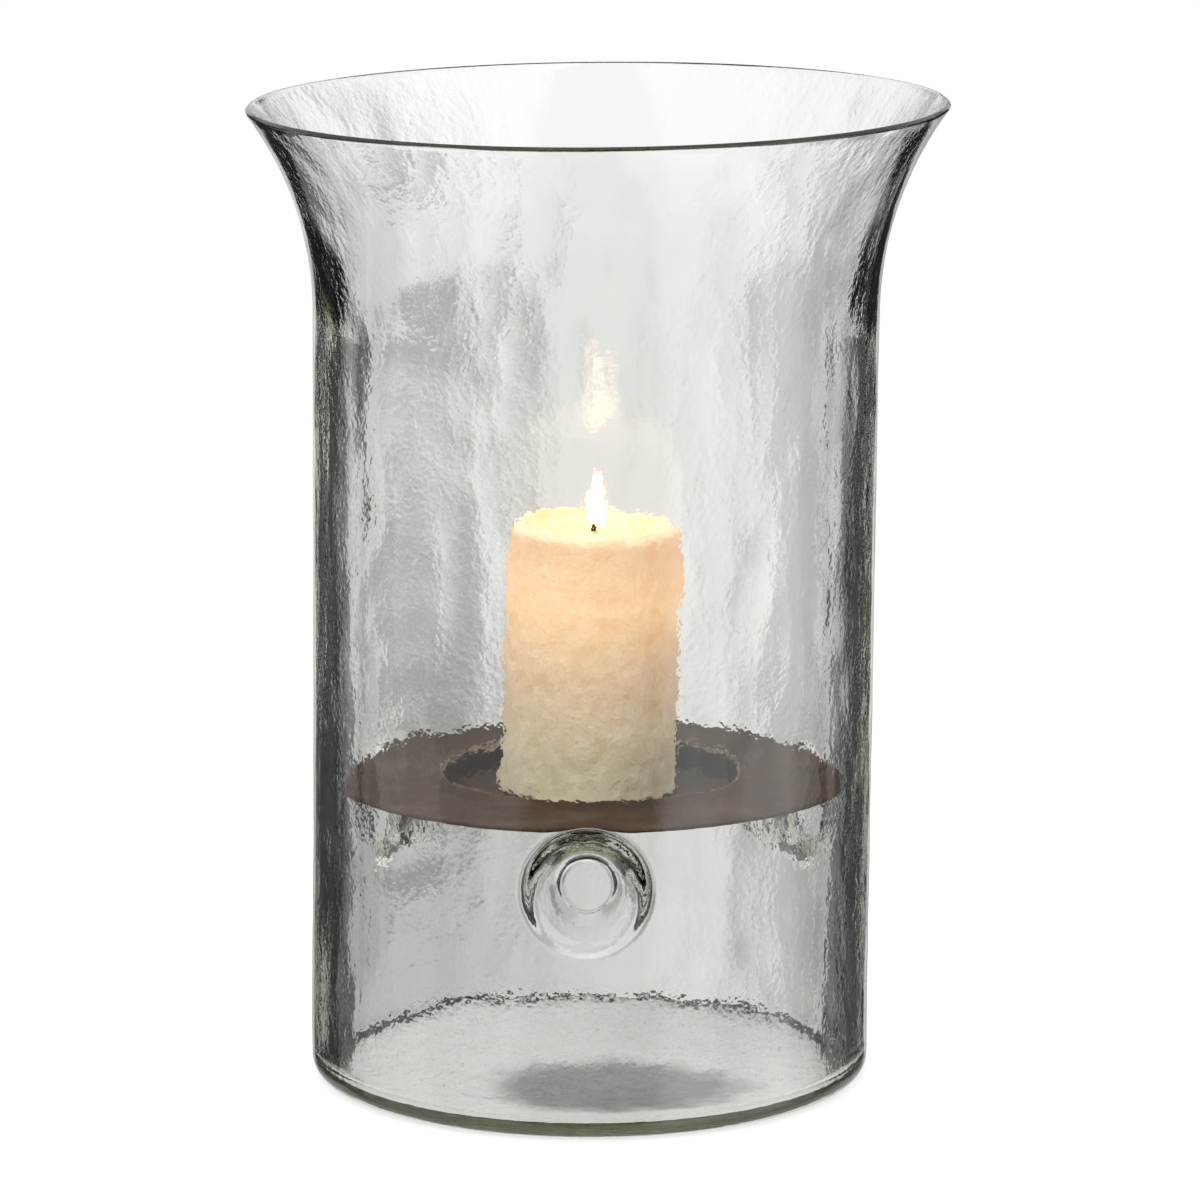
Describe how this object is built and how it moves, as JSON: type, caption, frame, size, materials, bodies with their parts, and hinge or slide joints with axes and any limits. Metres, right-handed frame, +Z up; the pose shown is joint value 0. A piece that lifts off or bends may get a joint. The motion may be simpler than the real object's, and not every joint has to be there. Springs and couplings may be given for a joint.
{
  "type": "hurricane candle lantern",
  "caption": "Thick blown-glass hurricane with a flared mouth; cups pressed into its wall carry a loose metal plate whose well holds a pillar candle.",
  "frame": {"origin": "centre of the glass base on the surface that it stands on", "axes": "+Z up along the vessel's axis, -Y towards the front lug, +X to the right seen from the front"},
  "size_m": [0.283, 0.2829, 0.4],
  "materials": {
    "clear_glass": "thick hand-blown clear glass with a faint green-grey tint and a softly hammered surface",
    "plate_patina": "dark brown oxidised sheet steel, matt and mottled",
    "ivory_wax": "ivory candle wax, softly translucent, rustic uneven sides",
    "wick_cotton": "braided cotton wick, charred at its tip",
    "tin_plate": "thin tin-plated steel"
  },
  "bodies": {
    "vessel": {"glass_hurricane": "clear_glass"},
    "plate": {"candle_plate": "plate_patina"},
    "candle": {"pillar_candle": "ivory_wax", "candle_wick": "wick_cotton", "wick_sustainer": "tin_plate"}
  },
  "joints": [
    {"name": "plate_lift", "type": "slide", "parent": "vessel", "child": "plate", "axis": [0, 0, 1], "range_m": [0, 0.3]},
    {"name": "candle_lift", "type": "slide", "parent": "plate", "child": "candle", "axis": [0, 0, 1], "range_m": [0, 0.3]}
  ]
}
